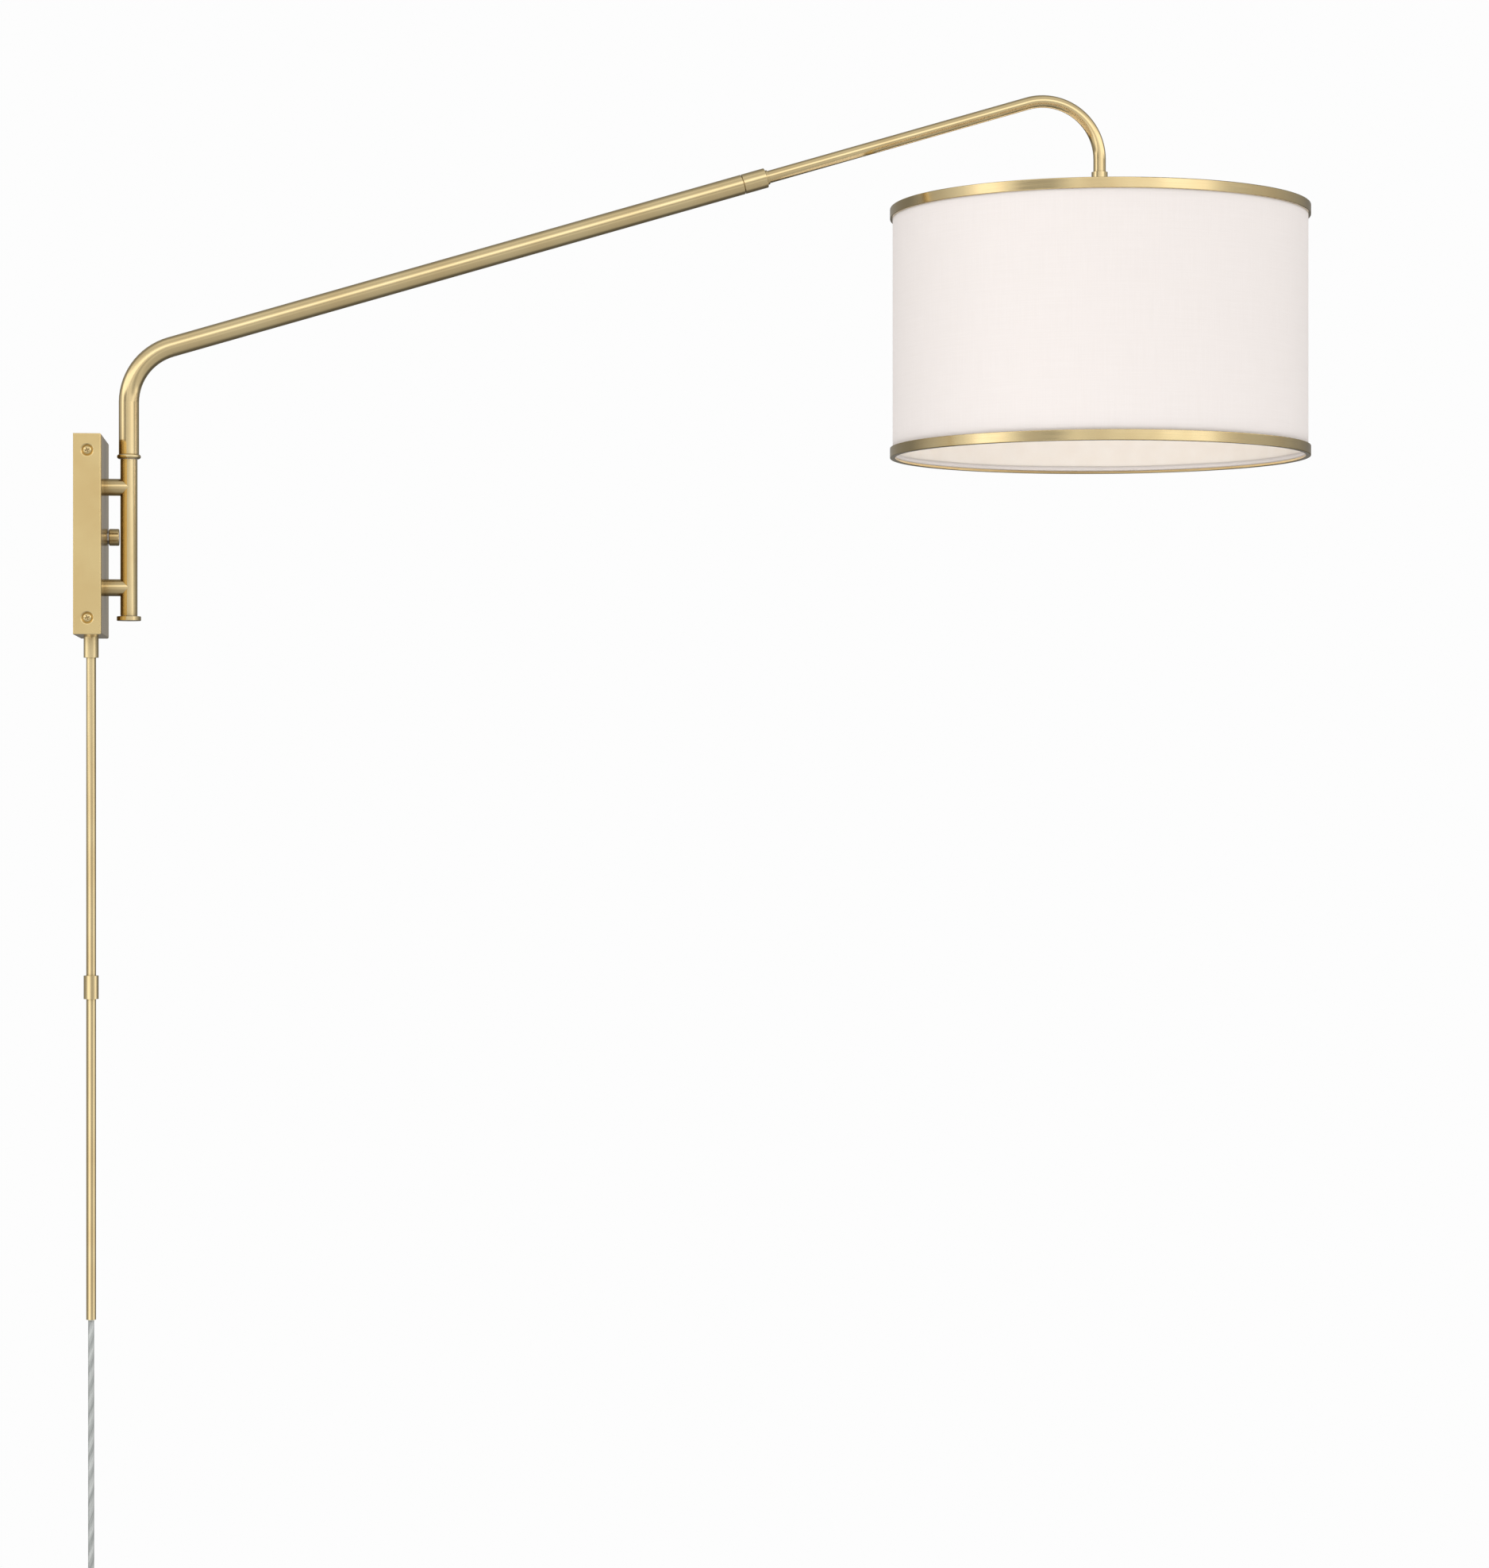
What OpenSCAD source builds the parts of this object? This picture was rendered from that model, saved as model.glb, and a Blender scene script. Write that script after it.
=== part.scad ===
// Swing arm wall sconce with a telescoping arm, a drum shade and a plug-in cord.
// X points out from the wall, Y runs along it and Z points up. The wall is the plane X = 0,
// and the origin is the middle of the canopy's back.

/* [Canopy] */
// Height of the canopy
canopy_h = 187; // [182:1:200]
// Width of the canopy, along the wall
canopy_w = 114; // [110:1:130]
// Depth of the canopy, out from the wall
canopy_d = 26; // [26:0.5:30]
// Thickness of the canopy's brass sheet
sheet_t = 1.2; // [0.8:0.1:1.4]
// Height of each pair of canopy screws above or below the middle
screw_z = 78; // [74:1:80]

/* [Hinge post] */
// Distance from the wall to the hinge axis
post_x = 48.3; // [48:0.1:56]
// Diameter of the hinge post and its two standoffs
post_d = 16; // [16:0.2:18]
// Height of the post with the ring above it and the flange below
post_h = 157.2; // [156:0.4:164]
// Distance between the centres of the two standoffs
standoff_pitch = 94.8; // [90:0.4:96]
// Diameter of the ring above the post
ring_d = 22.4; // [21:0.2:26]
// Diameter of the flange below the post
flange_d = 22.8; // [21:0.2:26]

/* [Arm] */
// Diameter of the outer arm tube
arm_d = 19; // [19:0.5:22]
// Slope of the straight part of the arm, in degrees
arm_slope = 16.55; // [12:0.05:20]
// Height at which the slanted axis crosses the hinge axis
arm_rise = 168.8; // [166:0.2:190]
// Length of the slanted axis, from the hinge axis to the end of the outer tube
arm_run = 607.5; // [600:0.5:660]
// Radius of both bends, at the middle of the tube
bend_r = 55; // [50:1:60]
// Length of the lock collar
collar_l = 22.7; // [20:0.1:28]
// Diameter of the inner, sliding tube
slide_d = 12; // [12:0.1:12.6]

/* [Shade] */
// Distance from the wall to the shade's axis
shade_x = 977.5; // [960:0.5:1000]
// Diameter of the fabric drum
shade_d = 400; // [380:2:420]
// Height of the shade with its metal bands
shade_h = 241.3; // [230:0.1:250]
// Height of the shade's top edge above the middle of the canopy
shade_top = 323.9; // [318:0.1:326]
// Height of each metal band
band_h = 10; // [8:0.5:14]

/* [Cord] */
// Diameter of the power cord
cord_d = 5.6; // [5.2:0.1:5.8]
// Diameter of the cord cover tubes
cover_d = 9.2; // [9:0.1:10]
// Diameter of the ferrule and of the coupling on the cord cover
ferrule_d = 14; // [13:0.2:16]
// Length of the ferrule below the canopy
ferrule_l = 20; // [16:1:24]
// Length of the upper cover tube that shows
cover_upper_l = 300; // [280:1:305]
// Length of the coupling between the two cover tubes
coupling_l = 22; // [18:1:24]
// Length of the lower cover tube that shows
cover_lower_l = 302.5; // [280:0.5:304]

/* [Hidden] */
$fn = 72;

BRASS = [0.79, 0.65, 0.40];
STEEL = [0.62, 0.63, 0.65];
NYLON = [0.93, 0.93, 0.90];
BLACK = [0.10, 0.10, 0.10];
CLEAR = [0.72, 0.72, 0.72];
CREAM = [0.94, 0.91, 0.87];
BRONZE = [0.60, 0.44, 0.24];
fit = 0.05;                 // radial clearance of every running fit
weld = 0.5;                 // how far the straight stretches of a tube run into a bend
swell = 0.02;               // how much thicker a tube is in a bend, so that they join cleanly
inf = 2000;                 // longer than anything that it cuts

// Canopy and what is behind it
edge_r = 1.6;               // rounding of the canopy's front edges
dimple_r = 5.9;             // countersunk dimple for each canopy screw
dimple_depth = 2.4;
dimple_wall = 1.2;
screw_head_r = 4.4;
screw_r = 2;
plate_t = 1.6;              // mounting plate
plate_strap_w = 44;
plate_arm_h = 18;
wall_screw_pitch = 127;
wall_screw_r = 2.6;
nipple_r = 5;               // M10 x 1 lamp thread
nipple_bore = 3.5;
nut_flats = 14;
nut_t = 3.5;
standoff_z = standoff_pitch / 2;
knob_y = 46.5;
knob_z = 3;
knob_r = 8.1;

// Hinge
half_post = post_h / 2;
ring_t = 4.4;
flange_t = 4.2;
thrust_t = 0.5;
post_bottom = -half_post + flange_t + thrust_t;
post_top = half_post - ring_t - thrust_t;
post_bore = 6.8;
spindle_r = 6;
spindle_bore = 4;
wire_r = 2.2;
arm_bore = arm_d / 2 - 1.2;

// Arm, measured along the slanted axis from the point where it crosses the hinge axis
seat_l = 20;                // part of the collar seat that is pressed into the tube
groove = 0.9;               // gap between the outer tube and the lock collar
thread_r = 7.6;
collet_r = 7;
slide_inner = arm_run - 82.5;
slide_r = slide_d / 2;
slide_bore = slide_r - 1.2;
goose_tangent = (shade_x - post_x) / cos(arm_slope) - bend_r * tan((90 + arm_slope) / 2);
low_tangent = bend_r * tan((90 - arm_slope) / 2);
goose_corner_z = arm_rise + (shade_x - post_x) * tan(arm_slope);
goose_z = goose_corner_z - bend_r * tan((90 + arm_slope) / 2);

// Shade, fitter and socket
fabric_t = 0.8;
liner_t = 0.6;
band_out = 2.6;             // how far a band stands out from the fabric
band_lip = 1;               // how far a band's lip turns in past the liner
band_web = 1.2;
shade_r = shade_d / 2;
liner_r = shade_r - fabric_t - liner_t;
shade_bottom = shade_top - shade_h;
hub_z = shade_top - 5;      // middle of the shade's spider
neck_r = 7.8;
neck_top = 358.6;
cap_top = hub_z - 4.5;
cap_h = 20;
husk_r = 16.5;
husk_h = 44;
shell_r = 13.3;             // inside of the E26 screw shell
shell_out_r = 13.9;

// Cord, its hank and its plug
cord_x = canopy_d / 2;
cord_r = cord_d / 2;
ferrule_bottom = -canopy_h / 2 - ferrule_l;
coupling_top = ferrule_bottom - cover_upper_l;
coupling_bottom = coupling_top - coupling_l;
cover_end = coupling_bottom - cover_lower_l;
hidden_l = 6;               // how far each cover tube goes into what holds it
hank_top_z = -1026;         // centre of the hank's upper fold
hank_run = 78;
hank_r = 26.6;              // outside of the folds
hank_t = 17.2;
plug_y = -23.8;
plug_top = -1135;
plug_l = 34;
FREE_ROUTE = [              // from the cover's end down to the hank
    [0, 0, -738], [0, 0, -752], [0, 0, -766], [0, 0, -780], [0, 0, -794], [0, 0, -808], [0, 0, -822],
    [0, 0, -836], [0, 0, -850], [0, 0, -864], [0, 0, -878], [0, 0, -892], [0, 0, -906], [0, 0, -920],
    [0, 0, -934], [0, 0, -948], [0, 0, -962], [0, 0, -976], [0.6, -1, -983.8], [1.9, -4.1, -991.1],
    [3.5, -8.9, -997.4], [5, -14.9, -1002.6], [5.8, -19.7, -1008.9], [5.8, -22.8, -1016.2],
    [5.8, -23.8, -1024], [5.8, -23.8, -1032]
];

// ---------- helpers ----------

module tube(r_out, r_in, z0, z1) {
    translate([0, 0, z0]) difference() {
        cylinder(r = r_out, h = z1 - z0);
        translate([0, 0, -1]) cylinder(r = r_in, h = z1 - z0 + 2);
    }
}

module rod(r, z0, z1) {
    translate([0, 0, z0]) cylinder(r = r, h = z1 - z0);
}

module hex_nut(flats, r_in, z0, z1) {
    translate([0, 0, z0]) difference() {
        cylinder(r = flats / 2 / cos(30), h = z1 - z0, $fn = 6);
        translate([0, 0, -1]) cylinder(r = r_in, h = z1 - z0 + 2);
    }
}

// Local Z along +X
module out_from_wall(y, z) {
    translate([0, y, z]) rotate([0, 90, 0]) children();
}

// Local Z along the slanted axis, from where it crosses the hinge axis
module along_arm() {
    translate([post_x, 0, arm_rise]) rotate([0, 90 - arm_slope, 0]) children();
}

module on_post() {
    translate([post_x, 0, 0]) children();
}

module on_shade_axis() {
    translate([shade_x, 0, 0]) children();
}

module on_cord() {
    translate([cord_x, 0, 0]) children();
}

// Part of a solid ring in the XZ plane, round the point [x, z]; way is -1 where it starts on the wall's side
module bend(x, z, angle, way, r) {
    translate([x, 0, z]) scale([way, 1, 1]) rotate([90, 0, 0]) rotate_extrude(angle = angle)
        translate([bend_r, 0]) circle(r = r + swell);
}

// A rod of radius r bent as the outer arm is, from height z0 on the hinge axis to s1 on the slanted axis
module arm_path(r, z0, s1) {
    on_post() rod(r, z0, arm_rise - low_tangent + weld);
    bend(post_x + bend_r, arm_rise - low_tangent, 90 - arm_slope, -1, r);
    along_arm() rod(r, low_tangent - weld, s1);
}

// A rod of radius r bent as the gooseneck is, from s0 on the slanted axis to height z1 on the shade's axis
module slide_path(r, s0, z1) {
    along_arm() rod(r, s0, goose_tangent + weld);
    bend(shade_x - bend_r, goose_z, 90 + arm_slope, 1, r);
    on_shade_axis() rod(r, z1, goose_z + weld);
}

// A tube swept along a list of points, as one closed mesh; side is a direction that the route never takes
function unit(v) = v / norm(v);
function heading(p, i) = unit(p[min(i + 1, len(p) - 1)] - p[max(i - 1, 0)]);
function swept_ring(p, i, r, n, side) =
    let (t = heading(p, i), a = unit(cross(t, side)), b = cross(t, a))
    [for (k = [0 : n - 1]) p[i] + r * (cos(360 * k / n) * a + sin(360 * k / n) * b)];

module swept_tube(p, r, n, side) {
    last = len(p) - 1;
    rings = [for (i = [0 : last]) each swept_ring(p, i, r, n, side)];
    sides = [for (i = [0 : last - 1], k = [0 : n - 1])
        [i * n + k, (i + 1) * n + k, (i + 1) * n + (k + 1) % n, i * n + (k + 1) % n]];
    ends = [[for (k = [0 : n - 1]) k], [for (k = [n - 1 : -1 : 0]) last * n + k]];
    polyhedron(points = rings, faces = concat(sides, ends), convexity = 4);
}

// ---------- wall bracket ----------

// A box on the wall whose four front edges are round
module round_front_box(w, h, d, r, back) {
    intersection() {
        translate([back, -w / 2, -h / 2]) cube([d - back, w, h]);
        translate([0, 0, -h / 2]) linear_extrude(h) round_front(w, d, r, back);
        translate([0, w / 2, 0]) rotate([90, 0, 0]) linear_extrude(w) round_front(h, d, r, back);
    }
}

module round_front(w, d, r, back) {
    translate([back, -w / 2]) square([d - r - back, w]);
    translate([back, -w / 2 + r]) square([d - back, w - 2 * r]);
    for (s = [-1, 1]) translate([d - r, s * (w / 2 - r)]) circle(r = r);
}

// Local Z out of each side face of the canopy, at a screw
module at_canopy_screws() {
    for (side = [-1, 1], s = [-1, 1])
        translate([canopy_d / 2, side * canopy_w / 2, s * screw_z]) rotate([-90 * side, 0, 0]) children();
}

module canopy() color(BRASS) difference() {
    union() {
        difference() {
            round_front_box(canopy_w, canopy_h, canopy_d, edge_r, 0);
            round_front_box(canopy_w - 2 * sheet_t, canopy_h - 2 * sheet_t, canopy_d - sheet_t,
                edge_r - sheet_t / 2, -1);
        }
        at_canopy_screws() translate([0, 0, -dimple_depth - dimple_wall])
            cylinder(r1 = dimple_r - dimple_depth + dimple_wall, r2 = dimple_r + dimple_wall,
                h = dimple_depth + dimple_wall - 0.2);
    }
    at_canopy_screws() {
        translate([0, 0, -dimple_depth]) cylinder(r1 = dimple_r - dimple_depth, r2 = dimple_r + 0.1,
            h = dimple_depth + 0.1);
        rod(screw_r + 0.3, -6, 1);
    }
    for (s = [-1, 1]) out_from_wall(0, s * standoff_z) rod(nipple_r + 0.2, canopy_d - 3, canopy_d + 1);
    out_from_wall(knob_y, knob_z) rod(4.8, canopy_d - 3, canopy_d + 1);
    on_cord() rod(nipple_r + 0.2, -canopy_h / 2 - 1, -canopy_h / 2 + 3);
}

module mounting_plate() color(STEEL) {
    tab_y = canopy_w / 2 - dimple_depth - dimple_wall;
    difference() {
        union() {
            translate([0, -plate_strap_w / 2, -screw_z - 8]) cube([plate_t, plate_strap_w, 2 * screw_z + 16]);
            for (s = [-1, 1]) {
                translate([0, -tab_y, s * screw_z - plate_arm_h / 2]) cube([plate_t, 2 * tab_y, plate_arm_h]);
                for (side = [-1, 1])
                    translate([0, side * (tab_y - plate_t / 2) - plate_t / 2, s * screw_z - plate_arm_h / 2])
                        cube([canopy_d - 5, plate_t, plate_arm_h]);
            }
        }
        for (s = [-1, 1]) out_from_wall(0, s * wall_screw_pitch / 2) rod(wall_screw_r, -1, plate_t + 1);
        at_canopy_screws() rod(screw_r, -10, 0);
    }
}

module canopy_screws() color(BRASS) at_canopy_screws() difference() {
    head_z = -dimple_depth + (screw_head_r - dimple_r + dimple_depth);
    union() {
        rod(screw_r, -11, -2);
        translate([0, 0, -dimple_depth]) cylinder(r1 = screw_r, r2 = screw_head_r, h = head_z + dimple_depth);
        translate([0, 0, head_z]) intersection() {
            cylinder(r = screw_head_r, h = 1.4);
            translate([0, 0, 1.3 - 8.1]) sphere(r = 8.1);
        }
    }
    for (a = [0, 90]) rotate([0, 0, a + 20]) translate([-2.3, -0.45, head_z - 0.4]) cube([4.6, 0.9, 3]);
}

module standoff(z) {
    difference() {
        out_from_wall(0, z) tube(post_d / 2, 3.4, canopy_d, post_x);
        on_post() rod(post_d / 2, -inf / 2, inf / 2);
        out_from_wall(0, z) rod(nipple_r, canopy_d - 1, canopy_d + 8);
    }
}

module upper_standoff() color(BRASS) standoff(standoff_z);

module lower_standoff() color(BRASS) standoff(-standoff_z);

module standoff_nipples() color(STEEL)
    for (s = [-1, 1]) out_from_wall(0, s * standoff_z) tube(nipple_r, nipple_bore, canopy_d - 9, canopy_d + 8);

module standoff_nuts() color(STEEL)
    for (s = [-1, 1]) out_from_wall(0, s * standoff_z)
        hex_nut(nut_flats, nipple_r, canopy_d - sheet_t - 0.8 - nut_t, canopy_d - sheet_t - 0.8);

module standoff_washers() color(STEEL)
    for (s = [-1, 1]) out_from_wall(0, s * standoff_z)
        tube(9, nipple_r, canopy_d - sheet_t - 0.8, canopy_d - sheet_t);

module post_tube() color(BRASS) difference() {
    on_post() tube(post_d / 2, post_bore, post_bottom, post_top);
    for (s = [-1, 1]) out_from_wall(0, s * standoff_z) rod(3.4, canopy_d, post_x);
}

module bush(z0, z1) {
    on_post() tube(post_bore, spindle_r + fit, z0, z1);
}

module upper_bush() color(BRONZE) bush(post_top - 16, post_top);

module lower_bush() color(BRONZE) bush(post_bottom, post_bottom + 16);

module thrust_washers() color(NYLON) on_post() {
    tube(post_d / 2 - 0.6, spindle_r + fit, post_bottom - thrust_t, post_bottom);
    tube(post_d / 2 - 0.6, spindle_r + fit, post_top, post_top + thrust_t);
}

module switch_body() color(BLACK) out_from_wall(knob_y, knob_z) difference() {
    union() {
        rod(9, 9, canopy_d - sheet_t);
        rod(4.6, canopy_d - sheet_t, canopy_d + 2.6);
    }
    rod(2.5 + fit, 12, inf);
}

module switch_nut() color(STEEL) out_from_wall(knob_y, knob_z)
    hex_nut(11, 4.6, canopy_d, canopy_d + 1.8);

module cord_ferrule() color(BRASS) on_cord() difference() {
    union() {
        rod(ferrule_d / 2, ferrule_bottom, -canopy_h / 2);
        rod(nipple_r, -canopy_h / 2, -canopy_h / 2 + 8);
    }
    rod(cord_r + 0.5, ferrule_bottom - 1, -canopy_h / 2 + 9);
    rod(cover_d / 2, ferrule_bottom - 1, ferrule_bottom + hidden_l);
}

module ferrule_nut() color(STEEL) on_cord()
    hex_nut(nut_flats, nipple_r, -canopy_h / 2 + sheet_t, -canopy_h / 2 + sheet_t + nut_t);

module cord_clamp() color(NYLON) on_cord() difference() {
    translate([-7, -8, -canopy_h / 2 + 9]) cube([14, 16, 8]);
    rod(cord_r, -canopy_h, 0);
}

module cord_cover_upper() color(BRASS) on_cord()
    tube(cover_d / 2, cover_d / 2 - 0.9, coupling_top - hidden_l, ferrule_bottom + hidden_l);

module cover_coupling() color(BRASS) on_cord() difference() {
    rod(ferrule_d / 2, coupling_bottom, coupling_top);
    rod(cord_r + 0.5, coupling_bottom - 1, coupling_top + 1);
    rod(cover_d / 2, coupling_top - hidden_l, coupling_top + 1);
    rod(cover_d / 2, coupling_bottom - 1, coupling_bottom + hidden_l);
}

module cord_cover_lower() color(BRASS) on_cord()
    tube(cover_d / 2, cover_d / 2 - 0.9, cover_end, coupling_bottom + hidden_l);

module cover_end_bush() color(NYLON) on_cord() tube(cover_d / 2 - 0.9, cord_r, cover_end, cover_end + 12);

module captive_cord() color(CLEAR) on_cord() rod(cord_r, cover_end, -canopy_h / 2 + 22);

// The cord's two leads, up to the connectors
module supply_leads() color(CLEAR)
    for (s = [-1, 1])
        swept_tube([[cord_x, s * 1.4, -canopy_h / 2 + 22], [cord_x, s * 1.4, -66], [cord_x - 0.4, s * 4, -58],
            [cord_x - 0.8, s * 9, -48], [cord_x - 1, s * 12, -38], [cord_x - 1, s * 12, -30]], 1.1, 8, [1, 0, 0]);

module wire_connectors() color("orange")
    for (s = [-1, 1]) translate([cord_x - 1, s * 12, -30]) {
        cylinder(r1 = 4, r2 = 3, h = 18);
        cylinder(r = 4.6, h = 3);
    }

// The wire from a connector to the switch, and the wire through the lower standoff to the post
module lamp_lead() color(BLACK) {
    swept_tube([[cord_x - 1, 12, -12], [cord_x - 1, 13, -5], [cord_x - 1, 17, 1], [cord_x - 1, 24, knob_z],
        [cord_x - 1, 31, knob_z], [cord_x - 1, knob_y - 9, knob_z]], 1.1, 8, [1, 0, 0]);
    out_from_wall(0, -standoff_z) rod(wire_r, canopy_d - 13, post_x - post_bore - 0.2);
}

// ---------- switch ----------

module switch_knob() color(BRASS) out_from_wall(knob_y, knob_z) difference() {
    rotate_extrude() polygon([
        [0, canopy_d + 0.9], [knob_r - 0.7, canopy_d + 0.9], [knob_r, canopy_d + 1.6],
        [knob_r, canopy_d + 9.9], [knob_r - 0.7, canopy_d + 10.6], [0, canopy_d + 10.6]]);
    rod(6.8, canopy_d, canopy_d + 3.2);
    rod(2.5, canopy_d, canopy_d + 9);
}

module switch_shaft() color(STEEL) out_from_wall(knob_y, knob_z) rod(2.5, 13, canopy_d + 9);

// ---------- arm ----------

module hinge_spindle() color(STEEL) on_post() difference() {
    rod(spindle_r, -half_post + flange_t, half_post + 38);
    rod(spindle_bore, -half_post + flange_t + 13, half_post + 39);
    rod(screw_r, -half_post, -half_post + flange_t + 11);
    translate([-10, -10, -standoff_z - 8]) cube([10, 20, 16]);
}

module hinge_ring() color(BRASS) on_post() translate([0, 0, half_post - ring_t]) rotate_extrude() difference() {
    union() {
        translate([spindle_r, 0]) square([ring_d / 2 - ring_t / 2 - spindle_r, ring_t]);
        translate([ring_d / 2 - ring_t / 2, ring_t / 2]) circle(r = ring_t / 2);
    }
    translate([-10, -1]) square([10 + spindle_r, ring_t + 2]);
}

module bottom_flange() color(BRASS) on_post() translate([0, 0, -half_post]) difference() {
    rotate_extrude() polygon([
        [0, 0], [flange_d / 2 - 0.4, 0], [flange_d / 2, 0.4], [flange_d / 2, flange_t - 0.4],
        [flange_d / 2 - 0.4, flange_t], [0, flange_t]]);
    rod(screw_r, -1, flange_t + 1);
    translate([0, 0, -0.01]) cylinder(r1 = 4.4, r2 = screw_r, h = 2.4);
}

module flange_screw() color(BRASS) on_post() translate([0, 0, -half_post]) difference() {
    union() {
        rod(screw_r, 0, flange_t + 10);
        translate([0, 0, -0.01]) cylinder(r1 = 4.4, r2 = screw_r, h = 2.4);
    }
    for (a = [0, 90]) rotate([0, 0, a]) translate([-2.3, -0.45, -1]) cube([4.6, 0.9, 2.4]);
}

module arm_tube() color(BRASS) difference() {
    arm_path(arm_d / 2, half_post, arm_run);
    arm_path(arm_bore, half_post - 1, arm_run + 1);
}

module spindle_sleeve() color(STEEL) on_post() tube(arm_bore, spindle_r, half_post, half_post + 36);

// Guides the sliding tube at the arm's end, and carries the lock collar's thread
module collar_seat() color(BRASS) along_arm() difference() {
    union() {
        rod(arm_bore, arm_run - seat_l, arm_run);
        rod(thread_r, arm_run, arm_run + 14);
    }
    rod(slide_r + fit, 0, inf);
}

module collet() color(NYLON) along_arm() difference() {
    tube(collet_r, slide_r + fit, arm_run + 14.4, arm_run + groove + collar_l + 2.2);
    translate([0, -0.5, 0]) cube([20, 1, inf]);
}

// The wire inside the arm, with its coiled slack
module arm_wire() color(BLACK) {
    arm_path(wire_r, -standoff_z - 4, low_tangent + 15);
    along_arm() rod(6.4, low_tangent + 14, slide_inner - 250);
}

module lock_collar() color(BRASS) along_arm() difference() {
    start = arm_run + groove;
    rotate_extrude() polygon([
        [0, start], [arm_d / 2 - 0.3, start], [arm_d / 2, start + 0.3], [arm_d / 2, start + collar_l - 0.4],
        [arm_d / 2 - 0.4, start + collar_l], [0, start + collar_l]]);
    rod(thread_r + fit, 0, arm_run + 14.4);
    rod(collet_r + fit, 0, inf);
}

// ---------- sliding extension ----------

module slide_tube() color(BRASS) difference() {
    slide_path(slide_r, slide_inner, neck_top - 14);
    slide_path(slide_bore, slide_inner - 1, neck_top - 15);
}

module tube_guide() color(NYLON) along_arm() tube(arm_bore - fit, slide_r, slide_inner, slide_inner + 20);

module tube_insert() color(STEEL) on_shade_axis() tube(slide_bore, nipple_bore, neck_top - 14, neck_top - 4);

module neck_ferrule() color(BRASS) on_shade_axis() difference() {
    rod(neck_r, hub_z + 1, neck_top);
    rod(slide_r, neck_top - 14, neck_top + 1);
    rod(nipple_r, hub_z, neck_top);
}

module neck_nipple() color(STEEL) on_shade_axis() tube(nipple_r, nipple_bore, cap_top - 6, neck_top - 14);

module spider() color(BRASS) on_shade_axis() {
    ring_in = liner_r - 3.3;
    difference() {
        union() {
            rod(20, hub_z - 1, hub_z + 1);
            for (a = [30, 150, 270]) rotate([0, 0, a]) translate([18, 0, hub_z]) rotate([0, 90, 0])
                cylinder(r = 2, h = ring_in - 17);
            tube(liner_r - 0.3, ring_in, hub_z - 2.4, hub_z + 2.4, $fn = 180);
        }
        rod(nipple_r, hub_z - 3, hub_z + 3);
    }
}

module spider_nut() color(STEEL) on_shade_axis() hex_nut(nut_flats, nipple_r, cap_top, hub_z - 1);

module socket_cap() color(BRASS) on_shade_axis() difference() {
    rod(husk_r + 1.2, cap_top - cap_h, cap_top);
    rod(husk_r, cap_top - cap_h - 1, cap_top - 6);
    rod(nipple_r, cap_top - 7, cap_top + 1);
}

module socket_husk() color(BLACK) on_shade_axis()
    tube(husk_r, shell_out_r, cap_top - 10 - husk_h, cap_top - 10);

// Carries the centre contact
module socket_base() color(BLACK) on_shade_axis() tube(shell_out_r, 2.6, cap_top - 20, cap_top - 10);

module socket_shell() color(BRASS) on_shade_axis()
    tube(shell_out_r, shell_r, cap_top - 6 - husk_h, cap_top - 23);

module socket_contact() color(BRASS) on_shade_axis() translate([-8, -3, cap_top - 21]) union() {
    cube([16, 6, 0.8]);
    translate([6, 1, -1.4]) cube([4, 4, 1.4]);
}

module slide_wire() color(BLACK) slide_path(wire_r, slide_inner + 4, cap_top - 17.6);

// A U-shaped strip over one edge of the drum; way is 1 for the top edge and -1 for the bottom one
module band(edge_z, way) {
    on_shade_axis() translate([0, 0, edge_z]) scale([1, 1, way]) rotate_extrude($fn = 180) {
        translate([shade_r, -band_h]) square([band_out - 0.6, band_h - 0.6]);
        translate([shade_r + band_out - 1.2, -band_h + 0.6]) square([1.2, band_h - 1.2]);
        translate([liner_r - band_lip + 0.6, -band_web]) square([shade_r - liner_r + band_lip + band_out - 1.2, band_web]);
        translate([liner_r - band_lip, -2.4]) square([band_lip, 1.8]);
        for (z = [-0.6, -band_h + 0.6]) translate([shade_r + band_out - 0.6, z]) circle(r = 0.6, $fn = 24);
        translate([liner_r - band_lip + 0.6, -0.6]) circle(r = 0.6, $fn = 24);
    }
}

module top_band() color(BRASS) band(shade_top, 1);

module bottom_band() color(BRASS) band(shade_bottom, -1);

module shade_fabric() color(CREAM) on_shade_axis()
    tube(shade_r, shade_r - fabric_t, shade_bottom + band_web, shade_top - band_web, $fn = 180);

module shade_liner() color("white") on_shade_axis()
    tube(shade_r - fabric_t, liner_r, shade_bottom + band_web, shade_top - band_web, $fn = 180);

// ---------- free cord ----------

module free_cord() color(CLEAR) on_cord() swept_tube(FREE_ROUTE, cord_r, 10, [0, 1, 0]);

// The folded cord as one block, which the real turns fit
module cord_hank() color(CLEAR) translate([cord_x - hank_t / 2, 0, hank_top_z]) rotate([0, 90, 0])
    linear_extrude(hank_t) {
        translate([0, -hank_r]) square([hank_run, 2 * hank_r]);
        for (z = [0, hank_run]) translate([z, 0]) circle(r = hank_r);
    }

module hank_tie() color(BLACK) translate([cord_x, 0, hank_top_z - hank_run / 2]) difference() {
    cube([hank_t + 2, 2 * hank_r + 2, 10], center = true);
    cube([hank_t, 2 * hank_r, 11], center = true);
}

module cord_tail() color(CLEAR) translate([cord_x, plug_y, 0]) rod(cord_r, plug_top, hank_top_z - hank_run - 4);

module plug_body() color(CLEAR) translate([cord_x, plug_y, plug_top]) hull() {
    translate([0, 0, -1]) cylinder(r = 5, h = 1, $fn = 32);
    for (y = [-8.5, 8.5]) translate([0, y, -plug_l]) cylinder(r = 6, h = 18, $fn = 32);
}

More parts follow.
